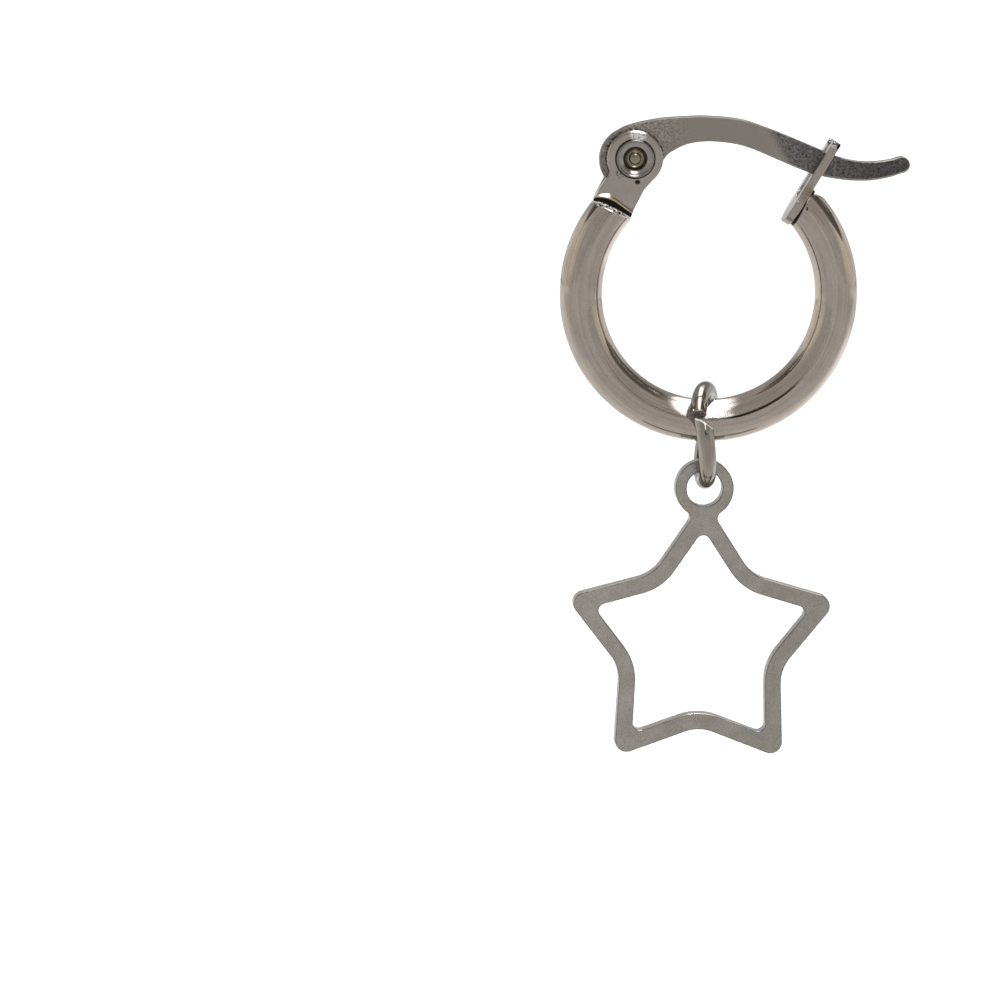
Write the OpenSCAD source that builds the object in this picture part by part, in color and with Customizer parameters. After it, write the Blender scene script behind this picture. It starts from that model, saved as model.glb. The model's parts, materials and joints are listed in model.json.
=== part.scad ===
/* [Hoop] */
// Outside diameter of the hoop
hoop_d = 14; // [13:0.5:20]
// Diameter of the round bar that the hoop is bent from
bar_d = 2; // [1.6:0.1:2.3]
// Angle round the hoop, from +X, of the bar's hinge end
hinge_end_angle = 140; // [134:1:144]
// Angle round the hoop, from +X, of the bar's catch end
catch_end_angle = 44.8; // [40:0.2:48]

/* [Hinge] */
// Distance from the bar's end to the rivet
rivet_rise = 2.62; // [2.4:0.02:3.2]
// Direction from the bar's end to the rivet, in degrees above +X
rivet_direction = 69; // [66:1:74]
// Lean of the ears' neck, in degrees above +X
neck_direction = 63.5; // [60:0.5:67]
// Direction that the bar's end face looks in, in degrees above +X
end_face_direction = 66.8; // [63:0.2:70]
// Radius of the ears' round heads
ear_head_r = 1.32; // [1.2:0.02:1.5]
// Width of the ears' neck
neck_w = 1.8; // [1.4:0.02:2.1]
// Sideways offset of the neck from the rivet, towards the catch
neck_offset = 0.15; // [0:0.01:0.2]
// Thickness of the folded sheet that makes the two ears
ear_t = 0.42; // [0.3:0.02:0.6]
// Depth by which the fold is dressed down into the solder
fold_sink = 0.3; // [0.2:0.02:0.35]

/* [Rivet] */
// Radius of the rivet's shank
shank_r = 0.52; // [0.4:0.02:0.56]
// Radius of the rivet's turned-over head
rivet_head_r = 0.88; // [0.8:0.02:1.05]
// Height of the head over the ear
rivet_head_t = 0.16; // [0.1:0.02:0.24]
// Radius of the cup in the head's face
cup_r = 0.62; // [0.56:0.02:0.66]
// Depth of the cup
cup_depth = 0.42; // [0.3:0.02:0.6]
// Radius of the pip in the middle of the cup
pip_r = 0.25; // [0.15:0.01:0.28]

/* [Lever] */
// Thickness of the lever
lever_t = 0.85; // [0.7:0.05:1]
// Width of the lever over its crown, as seen from the front
lever_w = 1.15; // [0.95:0.05:1.3]
// Height of the crown over the line from the rivet to the catch
crown_rise = 1.46; // [1.2:0.02:1.8]
// Radius of the lever's eye, behind the ears
eye_r = 1.52; // [1.4:0.01:1.6]
// Distance from the rivet's axis to the middle of the eye
heel = 0.14; // [0:0.01:0.2]

/* [Catch] */
// Thickness of the catch plate
catch_t = 0.4; // [0.3:0.05:0.6]
// Width of the catch plate
catch_w = 2.1; // [1.9:0.05:2.4]
// Lean of the catch plate, in degrees above +X
catch_direction = 59.5; // [56:0.5:63]
// Reach of the prongs past the bar's end
prong_reach = 3.35; // [3:0.05:4]
// Reach of the round foot below the bar's end
foot_reach = 1.16; // [1.1:0.02:1.4]
// Height of the slot's bottom over the bar's end
slot_floor = 0.14; // [0:0.02:0.4]
// Height over the bar's end at which the lever crosses the plate
lever_crossing = 2.13; // [1.9:0.01:2.4]

/* [Jump ring] */
// Outside diameter of the jump ring
ring_d = 5.08; // [4.6:0.02:6]
// Wire diameter of the jump ring
ring_wire = 0.8; // [0.6:0.05:0.9]
// Sideways turn of the ring, front to the left
ring_yaw = 0.28; // [0:0.02:0.32]
// Sideways warp of the ring
ring_warp = 0.15; // [0:0.01:0.18]
// Sideways lean of the ring's top
ring_lean = 0.05; // [0:0.01:0.1]
// Sideways miss between the ring's two ends
ring_miss = 0.35; // [0:0.05:0.4]
// Angle down from the ring's top to its upper end
split_angle = 58; // [50:1:70]
// Angle of the gap between the ends
split_gap = 7; // [4:1:12]

/* [Star charm] */
// Width of the star over its side tips
star_w = 12.1; // [10:0.1:14]
// Width of the star's bars
star_bar = 0.75; // [0.6:0.01:1]
// Thickness of the star
star_t = 0.9; // [0.6:0.05:1]
// Radius of the outer corners
tip_r = 0.55; // [0.3:0.01:0.7]
// Radius of the outer dips
dip_r = 1.9; // [1.2:0.1:2.4]
// Radius of the corners inside the tips
inner_tip_r = 0.34; // [0.2:0.01:0.4]
// Outside diameter of the charm's eye
charm_eye_d = 2.75; // [2.5:0.05:3.2]
// Diameter of the hole in the charm's eye
charm_hole_d = 1.68; // [1.4:0.02:1.8]
// Distance from the middle of the star to the middle of its eye
charm_eye_rise = 7.3; // [7:0.02:7.6]
// Radius of the throats between the eye and the star
throat_r = 0.35; // [0.2:0.05:0.6]

/* [Fits] */
// Side clearance between the lever and each ear
ear_gap = 0.05; // [0.03:0.01:0.08]
// Radial clearance of the rivet in the lever
rivet_gap = 0.05; // [0.03:0.01:0.08]
// Clearance between pieces that stay still on each other
seat_gap = 0.02; // [0.01:0.01:0.04]
// Clearance between links that hang in each other
link_gap = 0.03; // [0.02:0.01:0.06]
// Side clearance of the lever in the catch's slot
slot_gap = 0.08; // [0.05:0.01:0.15]
// Depth by which soldered pieces run into each other
weld = 0.02; // [0.01:0.01:0.05]

/* [Hidden] */
$fn = 96;
steel = [0.60, 0.57, 0.53];

// Places in the plane of the hoop, counted from its centre
mid_r = (hoop_d - bar_d) / 2;
hinge_end = mid_r * heading(hinge_end_angle);
catch_end = mid_r * heading(catch_end_angle);
rivet = hinge_end + rivet_rise * heading(rivet_direction);

// The catch plate's own axes: along runs up the prongs, through looks to the bar
plate_along = heading(catch_direction);
plate_through = heading(catch_direction - 90);
plate_middle = catch_end - catch_t / 2 * plate_through;
crossing = plate_middle + lever_crossing * plate_along;

// The lever's own axes: from the rivet to where it crosses the catch
span = norm(crossing - rivet);
lever_along = (crossing - rivet) / span;
lever_up = [-lever_along.y, lever_along.x];

// The arm's stations. along is a share of the span from the rivet, rise a share
// of crown_rise, depth a share of lever_w
ALONG = 0;
RISE = 1;
DEPTH = 2;
CROWN_ROW = 2;
arm = [
    [0.295, 0.950, 1.09],
    [0.350, 0.990, 1.04],
    [0.415, 1.000, 1.01],
    [0.510, 0.965, 1.02],
    [0.600, 0.865, 1.05],
    [0.700, 0.660, 1.09],
    [0.810, 0.410, 1.13],
    [0.920, 0.160, 1.12],
    [1.000, 0.005, 1.04],
    [1.080, -0.120, 0.91],
    [1.165, -0.200, 0.81],
    [1.260, -0.202, 0.75],
    [1.360, -0.095, 0.71],
    [1.423, 0.035, 0.68]
];

// The shoulder over the ears and the gullet under it. across and up are shares
// of ear_head_r, counted from the rivet
shoulder = [[-0.270, 1.120], [0.440, 1.325], [1.080, 1.440]];
gullet = [[1.680, 0.470], [1.430, 0.332], [1.223, 0.195], [1.095, 0.050], [1.000, -0.160], [0.930, -0.410]];
eye_top_angle = 118;
eye_foot_angle = 258;
heel_direction = 230;
tip_lean = 5;

// The ear seat, under the crown: the origin
seat = on_lever([
    arm[CROWN_ROW][ALONG] * span,
    arm[CROWN_ROW][RISE] * crown_rise - arm[CROWN_ROW][DEPTH] * lever_w / 2
]);

// Depths across the hinge, front to back
ears_inside = lever_t + 2 * ear_gap;
ears_outside = ears_inside + 2 * ear_t;
slot_w = lever_t + 2 * slot_gap;

// Heights down the drop, in the plane that the charm hangs in
ring_mid_r = (ring_d - ring_wire) / 2;
ring_inner_r = ring_mid_r - ring_wire / 2;
bar_top = -mid_r + bar_d / 2;
ring_z = bar_top + link_gap - ring_inner_r;
hole_top = ring_z - sqrt(pow(ring_inner_r, 2) - pow(star_t / 2, 2)) + link_gap;
charm_eye_z = hole_top - charm_hole_d / 2;
star_z = charm_eye_z - charm_eye_rise;

// The star's two five-pointed outlines
points_count = 5;
dip_share = 0.588;
inner_dip_share = 0.593;
tip_slope = atan2(dip_share * sin(36), 1 - dip_share * cos(36));
star_r = (star_w / 2 - tip_r) / cos(18) + tip_r / sin(tip_slope);
edge_reach = star_r * sin(tip_slope);
inner_slope = atan2(inner_dip_share * sin(36), 1 - inner_dip_share * cos(36));
inner_star_r = (edge_reach - star_bar) / sin(inner_slope);
inner_dip_r = dip_r + star_bar;

// Steps in the rounded stretches of an outline, and between two smoothed points
arc_steps = 10;
smooth_steps = 6;
eye_steps = 40;
ring_steps = 72;
wire_sides = 20;

function heading(angle) = [cos(angle), sin(angle)];
function on_lever(p) = rivet + p.x * lever_along + p.y * lever_up;
function unit(v) = v / norm(v);
function turned(v, angle) = [v.x * cos(angle) - v.y * sin(angle), v.x * sin(angle) + v.y * cos(angle)];

// Where two lines cross, each given by a point and a direction
function meet(p, along_p, q, along_q) =
    let (
        gap = q - p,
        turn = along_p.x * along_q.y - along_p.y * along_q.x
    )
    p + along_p * (gap.x * along_q.y - gap.y * along_q.x) / turn;

// Points of an arc from one angle to another
function arc(centre, r, from, to, steps) =
    [for (i = [0 : steps]) centre + r * heading(from + (to - from) * i / steps)];

// One corner of an outline, rounded: each corner is [place, radius]
function rounded_corner(before, here, after) =
    let (
        a = unit(before[0] - here[0]),
        b = unit(after[0] - here[0]),
        half = acos(a * b) / 2,
        centre = here[0] + unit(a + b) * here[1] / sin(half),
        start = here[0] + a * here[1] / tan(half) - centre,
        finish = here[0] + b * here[1] / tan(half) - centre,
        turn = atan2(start.x * finish.y - start.y * finish.x, start * finish)
    )
    [for (i = [0 : arc_steps]) centre + turned(start, turn * i / arc_steps)];

function rounded_outline(corners) = [
    for (i = [0 : len(corners) - 1])
        let (n = len(corners))
        each rounded_corner(corners[(i + n - 1) % n], corners[i], corners[(i + 1) % n])
];

// A smooth line through the points, which it keeps
function smooth_point(a, b, c, d, t) =
    b + t * (c - a) / 2 + t * t * (2 * a - 5 * b + 4 * c - d) / 2 + t * t * t * (3 * b - a - 3 * c + d) / 2;

function smooth_line(points) = [
    for (i = [0 : len(points) - 2], k = [0 : smooth_steps - 1])
        smooth_point(
            points[max(i - 1, 0)],
            points[i],
            points[i + 1],
            points[min(i + 2, len(points) - 1)],
            k / smooth_steps
        ),
    points[len(points) - 1]
];

// A five-pointed star, tip up, as corners with radii
function star_corners(r, dip, outer_round, dip_round) = [
    for (i = [0 : points_count - 1]) each [
        [r * heading(90 - 72 * i), outer_round],
        [r * dip * heading(54 - 72 * i), dip_round]
    ]
];

// The centre line of the jump ring, by the angle down its front from the top
function ring_point(share) =
    let (
        down = split_angle - share * (360 - split_gap),
        warped = -ring_yaw * sin(down) - ring_warp * sin(2 * down) + ring_lean * cos(down),
        aside = warped + ring_miss * (share - 0.5)
    )
    [aside, -ring_mid_r * sin(down), ring_z + ring_mid_r * cos(down)];

function ring_section(share) =
    let (
        here = ring_point(share),
        ahead = ring_point(share + 0.001) - ring_point(share - 0.001),
        along = unit(ahead),
        out = unit(here - [0, 0, ring_z]),
        side = unit(cross(along, out)),
        up = cross(side, along)
    )
    [for (k = [0 : wire_sides - 1])
        here + ring_wire / 2 * (cos(360 * k / wire_sides) * up + sin(360 * k / wire_sides) * side)];

// Moves what is drawn from the hoop's centre so that the ear seat is the origin
module from_hoop_centre() translate([-seat.x, 0, -seat.y]) children();

// Stands a drawing up in the plane of the hoop, and gives it a depth
module slab(depth) rotate([90, 0, 0]) linear_extrude(depth, center = true) children();

// A round pin or hole across the hoop's plane
module across(place, r, depth)
    translate([place.x, 0, place.y]) rotate([90, 0, 0]) cylinder(r = r, h = depth, center = true);

// Cuts away what lies past a bar's end face
module past_face(place, direction)
    translate([place.x, 0, place.y]) rotate([0, -direction, 0])
        translate([bar_d, 0, 0]) cube([2 * bar_d, 2 * bar_d, 2 * bar_d], center = true);

// The bent round bar. It is made longer by the spare angle at each end, then cut to its end faces
module bar() {
    spare = 14;
    from = hinge_end_angle - spare;
    to = catch_end_angle + 360 + spare;
    difference() {
        rotate([90, 0, 0]) rotate([0, 0, from]) rotate_extrude(angle = to - from)
            translate([mid_r, 0]) circle(d = bar_d);
        past_face(hinge_end + weld * heading(end_face_direction), end_face_direction);
        past_face(catch_end - weld * plate_through, catch_direction + 90);
    }
}

// The fold's section: a half ring with short straight legs that run up into the ears
module fold_section() {
    outer = ears_outside / 2;
    inner = ears_inside / 2;
    leg = ear_t / 2;
    difference() {
        union() {
            circle(outer);
            translate([-outer, 0]) square([2 * outer, leg]);
        }
        circle(inner);
        translate([-inner, 0]) square([2 * inner, 2 * outer]);
        translate([-2 * outer, leg]) square([4 * outer, 2 * outer]);
    }
}

// The two ears and the fold that joins them, over the bar's hinge end
module bracket() {
    up = heading(end_face_direction);
    side = heading(end_face_direction - 90);
    neck_along = heading(neck_direction);
    neck_side = heading(neck_direction - 90);
    neck_top = rivet + neck_offset * neck_side;
    top_left = neck_top - neck_w / 2 * neck_side;
    top_right = neck_top + neck_w / 2 * neck_side;
    fold_line = hinge_end + (ears_outside / 2 - fold_sink) * up;
    // Where the neck's edges, which lean, reach the fold's line
    left = meet(top_left, neck_along, fold_line, side);
    right = meet(top_right, neck_along, fold_line, side);
    difference() {
        union() {
            for (face = [-1, 1])
                translate([0, face * (ears_inside + ear_t) / 2, 0]) {
                    across(rivet, ear_head_r, ear_t);
                    slab(ear_t) polygon([top_left, left, right, top_right]);
                }
            difference() {
                translate([left.x, 0, left.y]) rotate([0, 90 - end_face_direction, 0])
                    rotate([90, 0, 90]) linear_extrude(norm(right - left)) fold_section();
                past_face(hinge_end, end_face_direction + 180);
            }
        }
        across(rivet, shank_r + seat_gap, 2 * ears_outside);
    }
}

// The forked plate that the lever snaps into, drawn as height over the bar's end and width
module catch_plate() {
    soft = 0.12;
    flat = 0.02;
    end_r = catch_w / 2 - flat;
    floor_r = slot_w / 2 - flat;
    outline = rounded_outline([
        [[prong_reach, -catch_w / 2], soft],
        [[prong_reach, -slot_w / 2], soft],
        [[slot_floor, -slot_w / 2], floor_r],
        [[slot_floor, slot_w / 2], floor_r],
        [[prong_reach, slot_w / 2], soft],
        [[prong_reach, catch_w / 2], soft],
        [[-foot_reach, catch_w / 2], end_r],
        [[-foot_reach, -catch_w / 2], end_r]
    ]);
    translate([plate_middle.x, 0, plate_middle.y]) rotate([0, -catch_direction, 0])
        linear_extrude(catch_t, center = true) polygon(outline);
}

// The bar with its hinge bracket and its catch plate soldered on
module hoop() color(steel) from_hoop_centre() {
    bar();
    bracket();
    catch_plate();
}

// A flared rivet, cupped in front with a pip in the cup, plain behind
module hinge_rivet() color(steel) from_hoop_centre() {
    back = ears_outside / 2 + seat_gap;
    face = back + rivet_head_t;
    edge = 0.05;
    cup_taper = 0.78;
    cup_floor_r = cup_taper * shank_r;
    pip_top = face - rivet_head_t;
    profile = [
        [0, -face],
        [rivet_head_r - edge, -face],
        [rivet_head_r, -face + edge],
        [rivet_head_r, -back],
        [shank_r, -back],
        [shank_r, back],
        [rivet_head_r, back],
        [rivet_head_r, face - edge],
        [rivet_head_r - edge, face],
        [cup_r, face],
        [cup_floor_r, face - rivet_head_t],
        [cup_floor_r, face - cup_depth],
        [pip_r, face - cup_depth],
        [pip_r, pip_top - edge],
        [pip_r - edge, pip_top],
        [0, pip_top]
    ];
    translate([rivet.x, 0, rivet.y]) rotate([90, 0, 0]) rotate_extrude() polygon(profile);
}

// One edge of the arm at a station: side is 1 for the top, -1 for the bottom
function arm_edge(row, side) =
    [row[ALONG] * span, row[RISE] * crown_rise + side * row[DEPTH] * lever_w / 2];

// The outline of the lever, from the foot of its eye round to the tip and back
function lever_outline() =
    let (
        eye = arc(heel * heading(heel_direction), eye_r, eye_foot_angle, eye_top_angle, eye_steps),
        last = len(arm) - 1,
        tip = (arm_edge(arm[last], 1) + arm_edge(arm[last], -1)) / 2,
        tip_w = arm[last][DEPTH] * lever_w,
        nose = arc(tip, tip_w / 2, tip_lean + 90, tip_lean - 90, arc_steps),
        top = concat(
            [eye[eye_steps]],
            ear_head_r * shoulder,
            [for (i = [0 : last - 1]) arm_edge(arm[i], 1)],
            [nose[0]]
        ),
        bottom = concat(
            [nose[arc_steps]],
            [for (i = [last - 1 : -1 : 0]) arm_edge(arm[i], -1)],
            ear_head_r * gullet
        )
    )
    [for (p = concat(eye, smooth_line(top), nose, smooth_line(bottom))) on_lever(p)];

// The ear post: a flat arched lever that turns on the rivet
module lever() color(steel) from_hoop_centre() difference() {
    slab(lever_t) polygon(lever_outline());
    across(rivet, shank_r + rivet_gap, 2 * lever_t);
}

// A split ring of round wire, sprung a little out of flat, over the bar's lowest point
module jump_ring() color(steel) from_hoop_centre() {
    rings = [for (i = [0 : ring_steps]) ring_section(i / ring_steps)];
    last = ring_steps * wire_sides;
    polyhedron(
        points = [for (section = rings) each section],
        faces = concat(
            [[for (k = [0 : wire_sides - 1]) k]],
            [[for (k = [wire_sides - 1 : -1 : 0]) last + k]],
            [
                for (i = [0 : ring_steps - 1], k = [0 : wire_sides - 1])
                    let (here = i * wire_sides, ahead = here + wire_sides, next = (k + 1) % wire_sides)
                    [here + k, ahead + k, ahead + next, here + next]
            ]
        )
    );
}

// The charm's outline, from the right throat round the eye and down round the star
function charm_outline() =
    let (
        corners = star_corners(star_r, dip_share, tip_r, dip_r),
        eye = [0, charm_eye_rise],
        eye_out = charm_eye_d / 2,
        edge = unit(corners[1][0] - corners[0][0]),
        outward = [-edge.y, edge.x],
        // The throat's centre is a radius off the star's edge and a radius off the eye
        start = corners[0][0] + throat_r * outward,
        along = (eye - start) * edge,
        off = (eye - start) * outward,
        throat = start + (along + sqrt(pow(eye_out + throat_r, 2) - off * off)) * edge,
        from_eye = atan2(throat.y - eye.y, throat.x - eye.x),
        to_edge = atan2(-outward.y, -outward.x),
        right = arc(throat, throat_r, from_eye + 180, to_edge + 360, arc_steps),
        mirrored = [for (i = [arc_steps : -1 : 0]) [-right[i].x, right[i].y]]
    )
    concat(
        right,
        [
            for (i = [1 : len(corners) - 1])
                each rounded_corner(corners[i - 1], corners[i], corners[(i + 1) % len(corners)])
        ],
        mirrored,
        arc(eye, eye_out, 180 - from_eye, from_eye, eye_steps)
    );

// A flat star frame with an eye on its top tip
module star_charm() color(steel) from_hoop_centre() translate([0, 0, star_z]) difference() {
    inside = star_corners(inner_star_r, inner_dip_share, inner_tip_r, inner_dip_r);
    slab(star_t) polygon(charm_outline());
    slab(2 * star_t) polygon(rounded_outline(inside));
    across([0, charm_eye_rise], charm_hole_d / 2, 2 * star_t);
}

hoop();
hinge_rivet();
lever();
jump_ring();
star_charm();
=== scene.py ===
"""The looks of a hoop charm earring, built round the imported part.

Lengths are in millimetres in the hoop's plane, counted from the hoop's centre, until a
mesh is made. There they turn into metres in the part's own frame.
"""
import json
from math import acos, asin, atan2, ceil, cos, degrees, exp, log, pi, radians, sin, sqrt, tan

import bmesh
import bpy
import numpy as np
from mathutils import Matrix, Vector
from mathutils.geometry import tessellate_polygon


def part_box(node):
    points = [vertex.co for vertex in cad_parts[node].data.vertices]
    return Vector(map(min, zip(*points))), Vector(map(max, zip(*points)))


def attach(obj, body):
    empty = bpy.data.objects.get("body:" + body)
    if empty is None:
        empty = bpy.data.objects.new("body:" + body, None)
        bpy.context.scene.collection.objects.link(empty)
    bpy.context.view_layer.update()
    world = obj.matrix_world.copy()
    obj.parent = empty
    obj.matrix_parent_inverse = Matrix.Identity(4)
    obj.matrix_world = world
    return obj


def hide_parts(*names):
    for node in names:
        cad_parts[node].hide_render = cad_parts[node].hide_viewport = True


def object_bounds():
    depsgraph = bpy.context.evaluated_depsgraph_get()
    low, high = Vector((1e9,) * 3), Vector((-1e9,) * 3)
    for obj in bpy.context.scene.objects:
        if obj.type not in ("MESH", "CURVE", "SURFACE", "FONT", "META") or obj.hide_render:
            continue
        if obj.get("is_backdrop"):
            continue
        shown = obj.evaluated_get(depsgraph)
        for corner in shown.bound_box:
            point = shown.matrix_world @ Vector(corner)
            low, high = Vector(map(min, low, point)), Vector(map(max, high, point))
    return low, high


MM = 0.001

# Hoop
HOOP_D = 14.0
BAR_D = 2.0
HINGE_END_ANGLE = 140.0
CATCH_END_ANGLE = 44.8
HINGE_END_EDGE = 0.10  # rounding of the bar's edge at the hinge end
END_EDGE = 0.07  # least rounding at the catch end, then what is added at the filed corner and inside
FILED_EDGE = 0.16
INNER_EDGE = 0.06
FILED_DIRECTION = 79.6  # direction that the filed corner at the catch end looks in
FILED_PLACE = (4.6, 4.79)
FILED_SOFTNESS = 0.6  # degrees round the hoop over which the filed corner blends into the end face

# Hinge
END_FACE_DIRECTION = 66.8
NECK_DIRECTION = 63.5
NECK_W = 1.8
NECK_OFFSET = 0.15
EAR_HEAD_R = 1.32
EAR_T = 0.42
EAR_GAP = 0.05
FOLD_SINK = 0.3
FOLD_BEND_R = 0.62  # outside radius of the fold's two bends
FOLD_BOTTOM = -0.04  # height of the fold's underside over the bar's end
EAR_EDGE = 0.12
NECK_EDGE = 0.035
RIGHT_THROAT = 0.3  # length of the soft corner between the head and the neck
LEFT_THROAT = 0.12
RIGHT_SWELL = 0.25  # how far the corner swells, as a share of its length
LEFT_SWELL = 0.3
NECK_FLARE = 0.10  # how much further left the front ear's foot reaches
NECK_LEVEL = 0.75  # where the neck's edge starts to widen, under the hinge, as a share of EAR_HEAD_R
EDGE_CHANGE = 0.5  # length along the sheet over which it widens
FOLD_REACH = 1.6  # length of the sheet, either side of the fold's middle, that is cut to bend
FOLD_CUTS = 81

# Rivet
SHANK_R = 0.52
RIVET_HEAD_R = 0.88
RIVET_HEAD_T = 0.16
RIVET_DOME = 0.03  # how far the back head is domed
CUP_R = 0.62
CUP_DEPTH = 0.42
PIP_R = 0.25
SEAT_GAP = 0.02

# Lever
LEVER_T = 0.85
LEVER_W = 1.15
LEVER_EDGE = 0.045
WORN_EDGE = 0.14  # under the lever's outer half
CROWN_RISE = 1.46
EYE_R = 1.52
HEEL = 0.14
RIVET_GAP = 0.05

# Catch
CATCH_T = 0.4
CATCH_W = 2.1
CATCH_DIRECTION = 59.5
CATCH_EDGE = 0.05
FOOT_STEP = 0.05  # how far the foot stands out past the prongs
STEP_END = 0.10  # height over the bar's end at which the foot meets the prongs
STEP_ROUND = 0.07
PRONG_ROUND = 0.12
PRONG_REACH = 3.35
FOOT_REACH = 1.16
SLOT_FLOOR = 0.14
SLOT_GAP = 0.08
LEVER_CROSSING = 2.13

# Jump ring
RING_D = 5.08
RING_WIRE = 0.8
RING_YAW = 0.28
RING_WARP = 0.15
RING_LEAN = 0.05
RING_MISS = 0.35
SPLIT_ANGLE = 58.0
SPLIT_GAP = 7.0
WIRE_EDGE = 0.06
CUT_REACH = -0.13  # how much longer the front end is than the part's
CUT_SLANT = 1.0  # how far its cut slants, for each unit across the wire
CUT_SHARE = 0.09  # share of the ring that follows the slant
FRONT_BEND = 0.16  # how far the front end leans aside
BEND_SHARE = 0.10  # share of the ring that leans

# Star charm
STAR_W = 12.1
STAR_BAR = 0.75
STAR_T = 0.9
STAR_EDGE = 0.05
TIP_R = 0.55
DIP_R = 1.9
INNER_TIP_R = 0.34
CHARM_EYE_D = 2.75
CHARM_HOLE_D = 1.68
CHARM_EYE_RISE = 7.3
THROAT_R = 0.35
DIP_SHARE = 0.588
INNER_DIP_SHARE = 0.593

# Camera: where the photograph was taken from, and where the hoop's centre shows in its
# 1000 pixels
VIEW_AZIMUTH = -4.0
VIEW_ELEVATION = 7.0
VIEW_ROLL = 1.2
VIEW_DISTANCE = 380.0
PIXELS_PER_MM = 21.35
PICTURE_PIXELS = 1000.0
CENTRE_PIXEL = (708.5, 292.7)
SENSOR = 36.0

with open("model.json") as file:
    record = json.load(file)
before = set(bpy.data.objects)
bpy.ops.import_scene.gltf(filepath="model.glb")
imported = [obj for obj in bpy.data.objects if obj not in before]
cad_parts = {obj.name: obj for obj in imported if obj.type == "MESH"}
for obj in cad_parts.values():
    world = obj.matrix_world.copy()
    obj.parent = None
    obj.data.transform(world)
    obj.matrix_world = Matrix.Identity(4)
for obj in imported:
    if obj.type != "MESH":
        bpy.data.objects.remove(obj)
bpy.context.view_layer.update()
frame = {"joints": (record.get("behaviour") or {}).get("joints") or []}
JOINT_PLACE = {j["name"]: np.array(j["pos_m"]) / MM for j in frame["joints"]}

MID_R = (HOOP_D - BAR_D) / 2
BAR_R = BAR_D / 2
HOOP_CENTRE = JOINT_PLACE["ring_swing"] + np.array([0, 0, MID_R])


def heading(angle):
    return np.array([cos(radians(angle)), sin(radians(angle))])


def unit(v):
    return v / np.linalg.norm(v)


def angle_of(v):
    return degrees(atan2(v[1], v[0]))


RIVET = (JOINT_PLACE["lever_hinge"] - HOOP_CENTRE)[[0, 2]]
HINGE_END = MID_R * heading(HINGE_END_ANGLE)
CATCH_END = MID_R * heading(CATCH_END_ANGLE)
EARS_INSIDE = LEVER_T + 2 * EAR_GAP
EARS_OUTSIDE = EARS_INSIDE + 2 * EAR_T
END_UP = heading(END_FACE_DIRECTION)
END_SIDE = heading(END_FACE_DIRECTION - 90)

# The folded sheet's middle line: radius of its bends, half the flat between them, and its lowest height
BEND_R = FOLD_BEND_R - EAR_T / 2
FOLD_FLAT = (EARS_INSIDE + EAR_T) / 2 - BEND_R
FOLD_BASE = FOLD_BOTTOM + EAR_T / 2


# Shapes in the plane

def clipped(share):
    return min(1.0, max(0.0, share))


def full_turn(sides):
    return [2 * pi * k / sides for k in range(sides)]


def quarter_turn(steps):
    return [pi / 2 * i / steps for i in range(steps + 1)]


def arc(centre, r, start, end, steps):
    """Points of an arc from one angle to another, both kept."""
    return [np.array(centre) + r * heading(start + (end - start) * i / steps) for i in range(steps + 1)]


def rounded_corner(before, here, after, r, steps):
    """A corner of an outline, rounded to radius r."""
    a = unit(before - here)
    b = unit(after - here)
    half = acos(float(a @ b)) / 2
    centre = here + unit(a + b) * r / sin(half)
    start = here + a * r / tan(half) - centre
    finish = here + b * r / tan(half) - centre
    turn = degrees(atan2(start[0] * finish[1] - start[1] * finish[0], start @ finish))
    first = angle_of(start)
    return arc(centre, r, first, first + turn, steps)


def rounded_outline(corners, steps=16):
    """An outline from [(place, radius), ...]."""
    n = len(corners)
    points = []
    for i, (here, r) in enumerate(corners):
        before = np.array(corners[i - 1][0], float)
        after = np.array(corners[(i + 1) % n][0], float)
        points += rounded_corner(before, np.array(here, float), after, r, steps)
    return points


def smooth_line(points, steps=14):
    """A smooth line through the points, which it keeps."""
    points = [np.array(p, float) for p in points]
    padded = [points[0]] + points + [points[-1]]
    line = []
    for a, b, c, d in zip(padded, padded[1:], padded[2:], padded[3:]):
        for k in range(steps):
            t = k / steps
            line.append(
                b + t * (c - a) / 2
                + t * t * (2 * a - 5 * b + 4 * c - d) / 2
                + t * t * t * (3 * b - a - 3 * c + d) / 2
            )
    return line + [points[-1]]


def tidy_loop(points, turn, least=0.004):
    """The loop as an array, turning the way asked: 1 leftwards, -1 rightwards, with no doubled points."""
    kept = []
    for p in points:
        if not kept or np.linalg.norm(p - kept[-1]) > least:
            kept.append(np.array(p, float))
    if np.linalg.norm(kept[0] - kept[-1]) <= least:
        kept.pop()
    loop = np.array(kept)
    ahead = np.roll(loop, -1, axis=0)
    area = np.sum(loop[:, 0] * ahead[:, 1] - ahead[:, 0] * loop[:, 1]) / 2
    return loop if area * turn > 0 else loop[::-1].copy()


def finely_cut(loop, longest):
    """The loop with its long edges cut into equal shares."""
    points = []
    for here, ahead in zip(loop, np.roll(loop, -1, axis=0)):
        shares = max(1, ceil(np.linalg.norm(ahead - here) / longest))
        points += [here + (ahead - here) * k / shares for k in range(shares)]
    return np.array(points)


def loop_normals(loop):
    """Unit directions that look out of a loop's material, which lies to its left."""
    ahead = np.roll(loop, -1, axis=0) - loop
    ahead /= np.linalg.norm(ahead, axis=1)[:, None]
    mean = ahead + np.roll(ahead, 1, axis=0)
    mean /= np.linalg.norm(mean, axis=1)[:, None]
    return np.stack([mean[:, 1], -mean[:, 0]], axis=1)


# Meshes

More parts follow.
